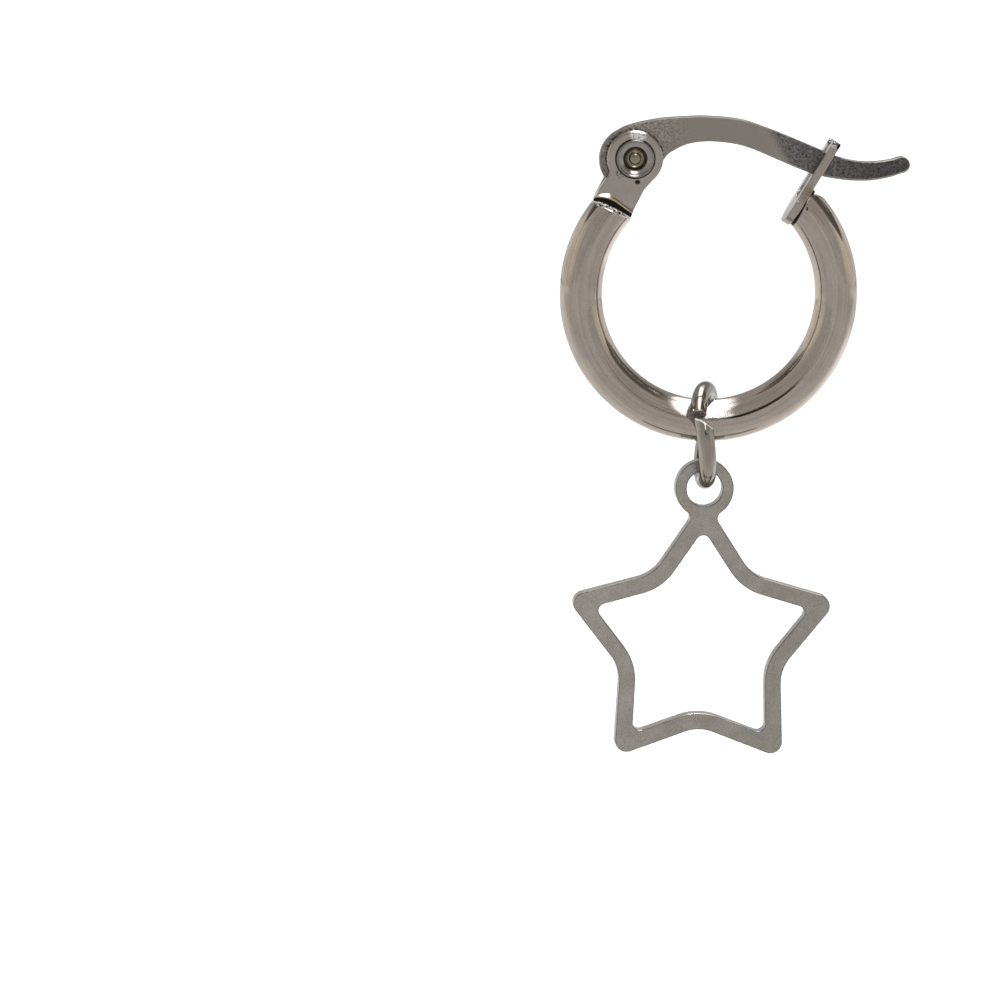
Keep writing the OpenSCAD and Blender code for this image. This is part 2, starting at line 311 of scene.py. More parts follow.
def make_piece(name, points, faces, normals=None, streaks=None, **shares):
    """A mesh from points in millimetres in the hoop's frame: x, y, z from its centre.
    What is left over in shares holds one number a point, for the materials."""
    mesh = bpy.data.meshes.new(name)
    placed = (np.array(points, float) + HOOP_CENTRE) * MM
    mesh.from_pydata(placed.tolist(), [], faces)
    mesh.validate()
    mesh.shade_smooth()
    if streaks is not None:
        layer = mesh.attributes.new("streak", "FLOAT_VECTOR", "POINT")
        layer.data.foreach_set("vector", np.array(streaks, np.float32).ravel())
    for share, values in shares.items():
        layer = mesh.attributes.new(share, "FLOAT", "POINT")
        layer.data.foreach_set("value", np.array(values, np.float32))
    if normals is None:
        weld(mesh)
    else:
        mesh.normals_split_custom_set_from_vertices(np.array(normals, float).tolist())
    made = bpy.data.objects.new(name, mesh)
    bpy.context.scene.collection.objects.link(made)
    return made


def weld(mesh):
    """Joins the points that lie on one another, as in the middle of a tube's end."""
    welded = bmesh.new()
    welded.from_mesh(mesh)
    bmesh.ops.remove_doubles(welded, verts=welded.verts, dist=0.003 * MM)
    welded.to_mesh(mesh)
    welded.free()


def edge_rows(steps):
    """Rows (side, outward share, height share) down a plate's rounded side, front to back."""
    rows = [(1, sin(turn), cos(turn)) for turn in quarter_turn(steps)]
    return rows + [(-1, out, up) for _, out, up in reversed(rows)]


def plate(loops, depth, edge, steps=5, longest=0.25):
    """A flat plate with rounded edges as (points, faces, normals, edges): u, v in its plane and
    height over its middle. Its first loop is the outline, the others are holes. The edge's radius
    is a number, or is worked out from a point and the way out of the metal there."""
    loops = [finely_cut(tidy_loop(loop, 1 if i == 0 else -1), longest) for i, loop in enumerate(loops)]
    rows = edge_rows(steps)
    points = []
    normals = []
    edges = []
    faces = []
    rims = []
    for loop in loops:
        n = len(loop)
        outward = loop_normals(loop)
        base = len(points)
        radii = [edge(p, q) if callable(edge) else edge for p, q in zip(loop, outward)]
        for side, out, up in rows:
            for p, q, r in zip(loop, outward, radii):
                u, v = p - q * r * (1 - out)
                points.append((u, v, side * (depth / 2 - r * (1 - up))))
                normals.append((q[0] * out, q[1] * out, side * up))
                edges.append(out)
        faces += [(a, d, c, b) for a, b, c, d in tube_faces(len(rows), n, base)]
        rims.append((base, base + (len(rows) - 1) * n, n))
    for side in (0, 1):
        starts = [(rim[side], rim[2]) for rim in rims]
        at = [start + k for start, n in starts for k in range(n)]
        flat = [[Vector((*points[start + k][:2], 0)) for k in range(n)] for start, n in starts]
        triangles = [tuple(at[i] for i in triangle) for triangle in tessellate_polygon(flat)]
        corners = np.array(points)[triangles]
        areas = np.cross(corners[:, 1] - corners[:, 0], corners[:, 2] - corners[:, 0])[:, 2]
        looks_up = areas.sum() > 0
        faces += [(a, b, c) if looks_up == (side == 0) else (a, c, b) for a, b, c in triangles]
    return np.array(points), faces, np.array(normals), edges


def standing(points):
    """Plate points (u, v, height) stood up in the hoop's plane, with the height towards the front."""
    return np.stack([points[:, 0], -points[:, 2], points[:, 1]], axis=1)


def tube_faces(rings, sides, base=0):
    faces = []
    for row in range(base, base + (rings - 1) * sides, sides):
        for k in range(sides):
            ahead = (k + 1) % sides
            faces.append((row + k, row + ahead, row + sides + ahead, row + sides + k))
    return faces


def flipped(faces):
    return [tuple(reversed(face)) for face in faces]


# The hoop's pieces

def hinge_plane(rho):
    """Angle round the hoop at which a line of the bar at radius rho meets the hinge end's face."""
    return END_FACE_DIRECTION + degrees(acos(float(HINGE_END @ END_UP) / rho))


def catch_plane(rho):
    """The same for the catch end, where a file has taken off the outer corner."""
    looks = CATCH_DIRECTION + 90
    face = looks - degrees(acos(float(CATCH_END @ heading(looks)) / rho)) + 360
    share = float(np.array(FILED_PLACE) @ heading(FILED_DIRECTION)) / rho
    if share >= 1:
        return face
    filed = FILED_DIRECTION - degrees(acos(share)) + 360
    near = 400.0  # close to both angles, which keeps the exponents small
    both = exp((near - face) / FILED_SOFTNESS) + exp((near - filed) / FILED_SOFTNESS)
    return near - FILED_SOFTNESS * log(both)


def end_rows(cap_steps, steps):
    """Rows (fill, narrowing, inset) from the middle of a round end face out to its edge and over it.
    The narrowing and the inset are shares of the edge's radius."""
    rows = [(i / cap_steps, 1.0, 0.0) for i in range(cap_steps + 1)]
    return rows + [(1.0, 1 - sin(turn), 1 - cos(turn)) for turn in quarter_turn(steps)[1:]]


def bar_rows(steps):
    """Rows (fill, narrowing, start inset, end inset, share of the way along) from end to end."""
    first = end_rows(6, 6)
    start = [(fill, narrowing, inset, 0.0, 0.0) for fill, narrowing, inset in first]
    middle = [(1.0, 0.0, 1 - i / steps, i / steps, i / steps) for i in range(1, steps)]
    end = [(fill, narrowing, 0.0, inset, 1.0) for fill, narrowing, inset in reversed(first)]
    return start + middle + end


def catch_edge(turn):
    """Radius of the bar's edge at the catch end, rounder at the filed corner and inside the hoop."""
    return END_EDGE + FILED_EDGE * max(0.0, cos(turn)) ** 4 + INNER_EDGE * max(0.0, -cos(turn)) ** 2


def bar():
    """The bent round bar, with rounded edges at its two end faces."""
    sides = 72
    rows = bar_rows(360)
    points = []
    streaks = []
    for fill, narrowing, start_inset, end_inset, share in rows:
        for turn in full_turn(sides):
            end_edge = catch_edge(turn)
            r = fill * (BAR_R - narrowing * (HINGE_END_EDGE if share < 0.5 else end_edge))
            rho = MID_R + r * cos(turn)
            start = hinge_plane(rho)
            inset = start_inset * HINGE_END_EDGE - end_inset * end_edge
            angle = start + (catch_plane(rho) - start) * share + degrees(inset / rho)
            x, z = rho * heading(angle)
            points.append((x, -r * sin(turn), z))
            streaks.append((r * cos(turn), r * sin(turn), radians(angle) * MID_R))
    return make_piece("bar", points, flipped(tube_faces(len(rows), sides)), streaks=streaks)


def fold_path(length):
    """Where a length along the folded sheet's middle line lies, counted from the middle of the fold:
    depth towards the front, height over the bar's end, and how far the sheet has turned up."""
    along = abs(length)
    if along <= FOLD_FLAT:
        return along, FOLD_BASE, 0.0
    if along <= FOLD_FLAT + BEND_R * pi / 2:
        turn = (along - FOLD_FLAT) / BEND_R
        return FOLD_FLAT + BEND_R * sin(turn), FOLD_BASE + BEND_R * (1 - cos(turn)), turn
    return FOLD_FLAT + BEND_R, FOLD_BASE + BEND_R + along - FOLD_FLAT - BEND_R * pi / 2, pi / 2


def fold_length(height):
    """Length along the sheet, from the middle of the fold, at which an ear is at this height."""
    return FOLD_FLAT + BEND_R * pi / 2 + height - (FOLD_BASE + BEND_R)


def ear_outline(wider=0.0):
    """One ear with its share of the fold, flat: across and height over the bar's end, from right to
    left. Its neck is made wider at the left foot if asked."""
    neck_along = heading(NECK_DIRECTION)
    neck_side = heading(NECK_DIRECTION - 90)
    fold_line = HINGE_END + (EARS_OUTSIDE / 2 - FOLD_SINK) * END_UP
    sides = []
    angles = []
    for sign, throat, swell, more in (
        (1, RIGHT_THROAT, RIGHT_SWELL, 0.0),
        (-1, LEFT_THROAT, LEFT_SWELL, wider),
    ):
        offset = NECK_OFFSET + sign * NECK_W / 2
        angle = NECK_DIRECTION - sign * 180 + degrees(asin(offset / EAR_HEAD_R))
        corner = RIVET + EAR_HEAD_R * heading(angle)
        angles.append(angle + sign * degrees(throat / EAR_HEAD_R))
        start = RIVET + (offset + sign * more) * neck_side
        foot = start + neck_along * float((fold_line - start) @ END_UP) / float(neck_along @ END_UP)
        bulge = corner + sign * swell * throat * neck_side
        top = RIVET + EAR_HEAD_R * heading(angles[-1])
        sides.append([foot] + smooth_line([corner - throat * neck_along, bulge, top], 5))
    head = arc(RIVET, EAR_HEAD_R, *angles, 72)
    shape = sides[0] + head[1:-1] + sides[1][::-1]
    return [np.array([(p - HINGE_END) @ END_SIDE, (p - HINGE_END) @ END_UP]) for p in shape]


def hinge_bracket():
    """The sheet folded into two ears, with rounded edges, made flat and then bent."""
    front = [np.array([u, fold_length(height)]) for u, height in ear_outline(NECK_FLARE)]
    back = [np.array([u, -fold_length(height)]) for u, height in reversed(ear_outline())]
    hinge = np.array([(RIVET - HINGE_END) @ END_SIDE, fold_length(float((RIVET - HINGE_END) @ END_UP))])
    holes = [arc(hinge * np.array([1, sign]), SHANK_R + SEAT_GAP, 0, 360, 48) for sign in (1, -1)]

    def edge(place, _):
        over_neck = abs(place[1]) - hinge[1] + NECK_LEVEL * EAR_HEAD_R
        return NECK_EDGE + (EAR_EDGE - NECK_EDGE) * clipped(over_neck / EDGE_CHANGE)

    points, faces, normals, _ = plate([front + back] + holes, EAR_T, edge, longest=0.12)
    mesh = bmesh.new()
    keep = mesh.verts.layers.float_vector.new("flat_normal")
    for p, n in zip(points, normals):
        mesh.verts.new(p)[keep] = Vector(n)
    mesh.verts.ensure_lookup_table()
    for face in faces:
        mesh.faces.new([mesh.verts[i] for i in face])
    for cut in np.linspace(-FOLD_REACH, FOLD_REACH, FOLD_CUTS):
        everything = mesh.verts[:] + mesh.edges[:] + mesh.faces[:]
        bmesh.ops.bisect_plane(mesh, geom=everything, dist=1e-5, plane_co=(0, cut, 0), plane_no=(0, 1, 0))
    bent = []
    bent_normals = []
    for v in mesh.verts:
        depth, height, turn = fold_path(v.co.y)
        sign = 1 if v.co.y >= 0 else -1
        out = np.array([sin(turn) * sign, -cos(turn)])
        along = np.array([cos(turn), sin(turn) * sign])
        depth, height = np.array([depth * sign, height]) + out * v.co.z
        flat = unit(np.array(v[keep]))
        n_depth, n_height = along * flat[1] + out * flat[2]
        x, z = HINGE_END + END_SIDE * v.co.x + END_UP * height
        nx, nz = END_SIDE * flat[0] + END_UP * n_height
        bent.append((x, -depth, z))
        bent_normals.append((nx, -n_depth, nz))
    mesh.verts.index_update()
    bent_faces = [[v.index for v in f.verts] for f in mesh.faces]
    mesh.free()
    return make_piece("hinge_bracket", bent, bent_faces, bent_normals)


# The hinge's solder, from left to right: share of the neck's width, then heights over the bar's
# end of its ridge and of its top
SOLDER_LINE = [
    (0.00, 0.24, 0.34),
    (0.10, 0.33, 0.48),
    (0.28, 0.44, 0.64),
    (0.48, 0.45, 0.60),
    (0.68, 0.38, 0.51),
    (0.86, 0.30, 0.40),
    (1.00, 0.24, 0.31),
]
SOLDER_SWELL = 0.1  # how far its ridge stands out of the ear
SOLDER_SINK = 0.02  # how far its back lies in the ear
SOLDER_SIDE = 0.01  # how far it reaches past the neck
SOLDER_DIP = 0.05  # how far its underside lies under the bar's end
SOLDER_INNER = 0.62  # depth at which its underside ends


def hinge_solder():
    """The bead of solder along the foot of each ear."""
    line = smooth_line(SOLDER_LINE, 8)
    steps = 8
    back = EARS_OUTSIDE / 2 - SOLDER_SINK
    points = []
    under = []
    faces = []
    for front in (1, -1):
        base = len(points)
        ear = np.array(ear_outline(NECK_FLARE if front == 1 else 0.0))
        left, right = sorted(ear[[0, -1], 0])
        for share, ridge, top in line:
            u = left - SOLDER_SIDE + (right - left + 2 * SOLDER_SIDE) * share
            rim = max(0.0, 1 - abs(2 * share - 1) ** 6) ** 0.5
            section = []
            for i in range(steps + 1):
                t = i / steps
                swell = SOLDER_SWELL * (3 * t * t - 2 * t * t * t)
                section.append((top + (ridge - top) * t, back + (swell + SOLDER_SINK) * rim, 0.0))
            reach = back + (SOLDER_SWELL + SOLDER_SINK) * rim - SOLDER_INNER
            for turn in quarter_turn(steps)[1:]:
                fall = (ridge + 2 * SOLDER_DIP) * sin(turn) + SOLDER_DIP * cos(turn)
                section.append((ridge + SOLDER_DIP - fall, SOLDER_INNER + reach * cos(turn), sin(turn)))
            section += [(-SOLDER_DIP, SOLDER_INNER - 0.02, 1.0), (top - 0.03, SOLDER_INNER - 0.02, 0.0)]
            for height, depth, low in section:
                x, z = HINGE_END + END_SIDE * u + END_UP * height
                points.append((x, -depth * front, z))
                under.append(low)
        rows = (len(points) - base) // len(line)
        shell = tube_faces(len(line), rows, base)
        shell.append(tuple(range(base + rows - 1, base - 1, -1)))
        shell.append(tuple(range(len(points) - rows, len(points))))
        faces += shell if front == 1 else flipped(shell)
    return make_piece("hinge_solder", points, faces, under=under)


PLATE_THROUGH = heading(CATCH_DIRECTION - 90)
PLATE_ALONG = heading(CATCH_DIRECTION)
PLATE_MIDDLE = CATCH_END - CATCH_T / 2 * PLATE_THROUGH


def catch_outline():
    """The fork with its round foot: height over the bar's end, and across."""
    slot_w = LEVER_T + 2 * SLOT_GAP
    foot_w = CATCH_W + 2 * FOOT_STEP
    flat = 0.02
    floor_r = slot_w / 2 - flat
    end_r = foot_w / 2 - flat
    half = [
        ((SLOT_FLOOR, slot_w / 2), floor_r),
        ((PRONG_REACH, slot_w / 2), PRONG_ROUND),
        ((PRONG_REACH, CATCH_W / 2), PRONG_ROUND),
        ((STEP_END, CATCH_W / 2), STEP_ROUND),
        ((0.0, foot_w / 2), STEP_ROUND),
        ((-FOOT_REACH, foot_w / 2), end_r),
    ]
    mirrored = [((height, -across), r) for (height, across), r in reversed(half)]
    return rounded_outline(mirrored[3:] + half + mirrored[:3], 24)


def from_catch(points):
    """Catch plate points (height over the bar's end, width, height over the plate), turned only."""
    x, z = (points[:, 0] * PLATE_ALONG[i] + points[:, 2] * PLATE_THROUGH[i] for i in (0, 1))
    return np.stack([x, points[:, 1], z], axis=1)


def catch_plate():
    """The forked plate that the lever snaps into."""
    points, faces, normals, _ = plate([catch_outline()], CATCH_T, CATCH_EDGE)
    middle = np.array([PLATE_MIDDLE[0], 0, PLATE_MIDDLE[1]])
    return make_piece("catch_plate", from_catch(points) + middle, flipped(faces), from_catch(normals))


CATCH_BEAD = 0.09  # how far the catch's solder reaches, both out of the bar and along it
BEAD_SINK = 0.3  # how deep it lies in the bar where it reaches less, for each unit less
BEAD_INSIDE = -1.2  # where its hidden side lies in the bar, as a share of its reach


def catch_solder():
    """The hollow bead of solder round the bar where it meets the catch plate."""
    sides = 96
    rings = [(1 - sin(turn), 1 - cos(turn)) for turn in quarter_turn(6)]
    rings += [(BEAD_INSIDE, 1.0), (BEAD_INSIDE, 0.0)]
    points = []
    for swell, back in rings:
        for turn in full_turn(sides):
            reach = CATCH_BEAD * clipped(0.5 - cos(turn))
            r = BAR_R + reach * swell - BEAD_SINK * (CATCH_BEAD - reach)
            rho = MID_R + r * cos(turn)
            angle = catch_plane(rho) - degrees((reach * back - 0.01) / rho)
            x, z = rho * heading(angle)
            points.append((x, -r * sin(turn), z))
    faces = tube_faces(len(rings), sides)
    last = (len(rings) - 1) * sides
    faces += [(last + k, last + (k + 1) % sides, (k + 1) % sides, k) for k in range(sides)]
    return make_piece("catch_solder", points, faces)


DROP_PLACE = np.array([4.745, -0.35, 4.845])
DROP_SIZE = np.array([0.11, 0.176, 0.10])


def solder_drop():
    """A drop of solder left in the corner between the bar's filed end and the plate."""
    steps = 16
    points = []
    for i in range(steps + 1):
        polar = pi * i / steps
        out = max(sin(polar), 0.01)
        for turn in full_turn(2 * steps):
            shares = np.array([out * cos(turn), out * sin(turn), cos(polar)])
            points.append(DROP_PLACE + DROP_SIZE * shares)
    return make_piece("solder_drop", points, flipped(tube_faces(steps + 1, 2 * steps)))


# Pieces that turn, hang or hold

def lathe(name, centre, profile, sides=96):
    """A piece turned about a line through the hoop's plane, from (radius, place towards the front) rows."""
    points = []
    for r, front in profile:
        for turn in full_turn(sides):
            points.append((centre[0] + r * cos(turn), -front, centre[1] + r * sin(turn)))
    return make_piece(name, points, tube_faces(len(profile), sides))


def softened(profile, radius, steps=5):
    """A profile whose inner corners are rounded. Each row is (radius, place), with the ends kept."""
    rows = [np.array(p, float) for p in profile]
    soft = [rows[0]]
    for before, here, after in zip(rows, rows[1:], rows[2:]):
        room = 0.45 * min(np.linalg.norm(before - here), np.linalg.norm(after - here))
        half = acos(float(np.clip(unit(before - here) @ unit(after - here), -1, 1))) / 2
        if abs(half - pi / 2) < 0.05:
            soft.append(here)
            continue
        r = min(radius, room * tan(half))
        soft += rounded_corner(before, here, after, r, steps)
    return soft + [rows[-1]]


def hinge_rivet():
    """A flared rivet, cupped in front with a pip in the cup, plain behind."""
    back = EARS_OUTSIDE / 2 + SEAT_GAP
    face = back + RIVET_HEAD_T
    floor = face - CUP_DEPTH
    profile = [
        (0.001, -face),
        (RIVET_HEAD_R, -face + RIVET_DOME),
        (RIVET_HEAD_R, -back),
        (SHANK_R, -back),
        (SHANK_R, back),
        (RIVET_HEAD_R, back),
        (RIVET_HEAD_R, face - 0.015),
        (RIVET_HEAD_R - 0.03, face),
        (CUP_R + 0.19, face),
        (CUP_R + 0.15, face - 0.04),
        (CUP_R + 0.07, face - 0.05),
        (CUP_R - 0.05, face - 0.14),
        (0.8 * SHANK_R, floor + 0.06),
        (PIP_R + 0.03, floor),
        (PIP_R, face - RIVET_HEAD_T - 0.06),
        (0.001, face - RIVET_HEAD_T - 0.03),
    ]
    return lathe("hinge_rivet_turned", RIVET, softened(profile, 0.08))


def lever_axes():
    crossing = PLATE_MIDDLE + LEVER_CROSSING * PLATE_ALONG
    span = float(np.linalg.norm(crossing - RIVET))
    along = (crossing - RIVET) / span
    return span, along, np.array([-along[1], along[0]])


# The lever's stations: share of the span from the rivet, share of CROWN_RISE, share of LEVER_W
LEVER_ARM = [
    (0.295, 0.950, 1.09),
    (0.350, 0.990, 1.04),
    (0.415, 1.000, 1.01),
    (0.510, 0.965, 1.02),
    (0.600, 0.865, 1.05),
    (0.700, 0.660, 1.09),
    (0.810, 0.410, 1.13),
    (0.920, 0.160, 1.12),
    (1.000, 0.005, 1.04),
    (1.080, -0.120, 0.91),
    (1.165, -0.200, 0.81),
    (1.260, -0.202, 0.75),
    (1.360, -0.095, 0.71),
    (1.423, 0.035, 0.68),
]
# The shoulder over the ears and the gullet under it, as shares of EAR_HEAD_R from the rivet
SHOULDER = [(-0.270, 1.120), (0.440, 1.325), (1.080, 1.440)]
GULLET = [(1.680, 0.470), (1.430, 0.332), (1.223, 0.195), (1.095, 0.050), (1.000, -0.160), (0.930, -0.410)]
EYE_FOOT_ANGLE = 258
EYE_TOP_ANGLE = 118
HEEL_DIRECTION = 230
TIP_LEAN = 5


def lever_outline():
    span, along, up = lever_axes()

    def edge(row, side):
        return np.array([row[0] * span, row[1] * CROWN_RISE + side * row[2] * LEVER_W / 2])

    eye = arc(HEEL * heading(HEEL_DIRECTION), EYE_R, EYE_FOOT_ANGLE, EYE_TOP_ANGLE, 96)
    last = LEVER_ARM[-1]
    tip = (edge(last, 1) + edge(last, -1)) / 2
    nose = arc(tip, last[2] * LEVER_W / 2, TIP_LEAN + 90, TIP_LEAN - 90, 28)
    shoulder = [EAR_HEAD_R * np.array(p) for p in SHOULDER]
    gullet = [EAR_HEAD_R * np.array(p) for p in GULLET]
    top = smooth_line([eye[-1]] + shoulder + [edge(row, 1) for row in LEVER_ARM[:-1]] + [nose[0]])
    bottom = smooth_line([nose[-1]] + [edge(row, -1) for row in reversed(LEVER_ARM[:-1])] + gullet)
    return [RIVET + p[0] * along + p[1] * up for p in eye + top + nose + bottom]


def lever():
    """The ear post: a flat arched lever with rounded edges, which turns on the rivet."""
    hole = arc(RIVET, SHANK_R + RIVET_GAP, 0, 360, 64)

    def edge(place, outward):
        wear_and_highlight = clipped((place[0] - 2.5) / 1.5) * clipped(0.3 - outward[1])
        return LEVER_EDGE + (WORN_EDGE - LEVER_EDGE) * wear_and_highlight

    points, faces, normals, edges = plate([lever_outline(), hole], LEVER_T, edge, steps=6)
    # Share of each edge that is worn bare and painted lighter as a reflection: its lower sides and the tip
    bare = []
    for out, p, n in zip(edges, points, normals):
        bare.append(out * min(1.0, max(0.0, 0.4 - n[1]) / 0.4 + max(0.0, p[0] - 7.4)))
    return make_piece("lever_arm", standing(points), faces, standing(normals), edge=edges, bare=bare)


RING_MID_R = (RING_D - RING_WIRE) / 2
RING_Z = JOINT_PLACE["star_swing"][2] - HOOP_CENTRE[2] + RING_MID_R


def ring_point(share):
    """The centre line of the jump ring, by the angle down its front from the top."""
    down = radians(SPLIT_ANGLE - share * (360 - SPLIT_GAP))
    warped = -RING_YAW * sin(down) - RING_WARP * sin(2 * down) + RING_LEAN * cos(down)
    bend = max(0.0, 1 - (1 - share) / BEND_SHARE)
    aside = warped + RING_MISS * (share - 0.5) - FRONT_BEND * bend ** 2
    return np.array([aside, -RING_MID_R * sin(down), RING_Z + RING_MID_R * cos(down)])


def jump_ring():
    """A split ring of round wire, sprung a little out of flat."""
    sides = 40
    steps = 260
    wire_r = RING_WIRE / 2
    length = 2 * pi * RING_MID_R
    step = WIRE_EDGE / length
    first = []
    for fill, narrowing, inset in end_rows(4, 5):
        first.append((inset * step, fill * (wire_r - narrowing * WIRE_EDGE)))
    middle = [(step + (1 - 2 * step) * i / steps, wire_r) for i in range(1, steps)]
    rows = first + middle + [(1 - share, r) for share, r in reversed(first)]
    points = []
    streaks = []
    for share, r in rows:
        here = ring_point(share)
        along = unit(ring_point(share + 0.001) - ring_point(share - 0.001))
        side = unit(np.cross(along, unit(here - np.array([0, 0, RING_Z]))))
        up = np.cross(side, along)
        near_cut = max(0.0, 1 - (1 - share) / CUT_SHARE)
        for turn in full_turn(sides):
            across = r * sin(turn)
            slant = (CUT_REACH - CUT_SLANT * across) * near_cut
            points.append(here + r * cos(turn) * up + across * side + slant * along)
            streaks.append((r * cos(turn), across, share * length))
    return make_piece("jump_ring_wire", points, tube_faces(len(rows), sides), streaks=streaks)


def star_corners(r, dip, outer_round, dip_round):
    corners = []
    for i in range(5):
        corners.append((r * heading(90 - 72 * i), outer_round))
        corners.append((r * dip * heading(54 - 72 * i), dip_round))
    return corners


def slope_of(share):
    """Angle between a star's edge and the line from its middle to the tip."""
    return atan2(share * sin(radians(36)), 1 - share * cos(radians(36)))


STAR_R = (STAR_W / 2 - TIP_R) / cos(radians(18)) + TIP_R / sin(slope_of(DIP_SHARE))
INNER_STAR_R = (STAR_R * sin(slope_of(DIP_SHARE)) - STAR_BAR) / sin(slope_of(INNER_DIP_SHARE))


def charm_outline():
    """From the right throat round the star, up the left throat and round the eye."""
    corners = star_corners(STAR_R, DIP_SHARE, TIP_R, DIP_R)
    places = [np.array(c[0]) for c in corners]
    eye = np.array([0, CHARM_EYE_RISE])
    eye_out = CHARM_EYE_D / 2
    edge = unit(places[1] - places[0])
    outward = np.array([-edge[1], edge[0]])
    start = places[0] + THROAT_R * outward
    off = float((eye - start) @ outward)
    throat = start + (float((eye - start) @ edge) + sqrt((eye_out + THROAT_R) ** 2 - off ** 2)) * edge
    from_eye = angle_of(throat - eye)
    right = arc(throat, THROAT_R, from_eye + 180, angle_of(-outward) + 360, 14)
    points = list(right)
    for i in range(1, len(corners)):
        after = places[(i + 1) % len(corners)]
        points += rounded_corner(places[i - 1], places[i], after, corners[i][1], 20)
    points += [np.array([-p[0], p[1]]) for p in reversed(right)]
    return points + arc(eye, eye_out, 180 - from_eye, from_eye, 96)


def star_charm():
    """A flat star frame with an eye on its top tip."""
    eye_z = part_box("star_charm")[1].z / MM - HOOP_CENTRE[2] - CHARM_EYE_D / 2
    star_middle = np.array([0, eye_z - CHARM_EYE_RISE])
    inside = rounded_outline(star_corners(INNER_STAR_R, INNER_DIP_SHARE, INNER_TIP_R, DIP_R + STAR_BAR), 20)
    hole = arc((0, CHARM_EYE_RISE), CHARM_HOLE_D / 2, 0, 360, 80)
    loops = [[p + star_middle for p in loop] for loop in (charm_outline(), inside, hole)]
    points, faces, normals, edges = plate(loops, STAR_T, STAR_EDGE)
    return make_piece("star_frame", standing(points), faces, standing(normals), edge=edges)


# Materials

# Light and dull tones of each metal
BRIGHT = ((0.52, 0.46, 0.405), (0.47, 0.415, 0.365))
SHEET = ((0.465, 0.42, 0.378), (0.42, 0.378, 0.34))
WIRE = ((0.385, 0.352, 0.315), (0.335, 0.305, 0.272))
TURNED = ((0.29, 0.27, 0.245), (0.26, 0.24, 0.22))
SATIN = ((0.505, 0.470, 0.432), (0.455, 0.420, 0.382))
GOLD_SOLDER = ((0.92, 0.87, 0.72), (0.70, 0.58, 0.36))
BROWN_SOLDER = ((0.16, 0.12, 0.08), (0.10, 0.07, 0.05))
# Near black: painted shade round the rivet's head, and the nick under it
NEAR_BLACK = (0.03, 0.028, 0.026)
# Painted shade: near black under the hinge's solder and in the gap under the catch's solder
PAINTED_SHADE_BLACK = (0.02, 0.015, 0.012)


def tone(red, green, blue):
    return (red, green, blue, 1.0)


def grey(value, warmth=0.0):
    return (value, value * (1 - 0.5 * warmth), value * (1 - warmth))


class Value:
    """A number that nodes work out, for use in plain sums."""

    def __init__(self, nodes, socket):
        self.nodes = nodes
        self.socket = socket

    def calc(self, operation, *values):
        made = self.nodes.add("ShaderNodeMath", dict(enumerate(values)), operation=operation)
        return Value(self.nodes, made[0])

    def __add__(self, other):
        return self.calc("ADD", self, other)

    def __sub__(self, other):
        return self.calc("SUBTRACT", self, other)

    def __rsub__(self, other):
        return self.calc("SUBTRACT", other, self)

    def __mul__(self, other):
        return self.calc("MULTIPLY", self, other)

    def __truediv__(self, other):
        return self.calc("DIVIDE", self, other)

    def __abs__(self):
        return self.calc("ABSOLUTE", self)

    def at_least(self, other):
        return self.calc("MAXIMUM", self, other)

    def at_most(self, other):
        return self.calc("MINIMUM", self, other)

    def spread(self, low, high, to_low=0.0, to_high=1.0, **settings):
        """Runs evenly from to_low to to_high while the number runs from low to high."""
        inputs = {"Value": self, "From Min": low, "From Max": high, "To Min": to_low, "To Max": to_high}
        return Value(self.nodes, self.nodes.add("ShaderNodeMapRange", inputs, **settings)[0])

    def fall(self, low, high):
        return self.spread(low, high, 1.0, 0.0)

    def ease(self, low, high):
        """Rises smoothly from 0 to 1."""
        return self.spread(low, high, interpolation_type="SMOOTHSTEP")

    def fade(self, low, high):
        """Falls smoothly from 1 to 0."""
        return 1.0 - self.ease(low, high)


class Nodes:
    """The node tree of a material or world, with short ways to add nodes."""

    def __init__(self, owner, shader="Principled BSDF"):
        owner.use_nodes = True
        self.tree = owner.node_tree
        self.shader = self.tree.nodes[shader]

    def add(self, kind, inputs=None, **settings):
        node = self.tree.nodes.new(kind)
        for key, value in settings.items():
            setattr(node, key, value)
        for key, value in (inputs or {}).items():
            self.give(node.inputs[key], value)
        return node.outputs

    def give(self, socket, value):
        if isinstance(value, Value):
            value = value.socket
        if isinstance(value, bpy.types.NodeSocket):
            self.tree.links.new(value, socket)
        else:
            socket.default_value = value

    def vector(self, operation, *values, output=0):
        return self.add("ShaderNodeVectorMath", dict(enumerate(values)), operation=operation)[output]

    def scaled(self, vector, factor):
        return self.add("ShaderNodeVectorMath", {0: vector, "Scale": factor}, operation="SCALE")[0]

    def split(self, vector):
        return [Value(self, part) for part in self.add("ShaderNodeSeparateXYZ", {0: vector})]

    def ramp(self, value, stops):
        """Colours by value, from (value, colour) stops in rising order."""
        colours = self.add("ShaderNodeValToRGB", {0: value})[0]
        elements = colours.node.color_ramp.elements
        while len(elements) < len(stops):
            elements.new(1.0)
        for element, (position, colour) in zip(elements, stops):
            element.position = position
            element.color = tone(*colour)
        return colours

    def blend(self, share, first, second):
        """The first colour where share is 0, the second where it is 1."""
        return self.add("ShaderNodeMix", {0: share, 6: first, 7: second}, data_type="RGBA")[2]


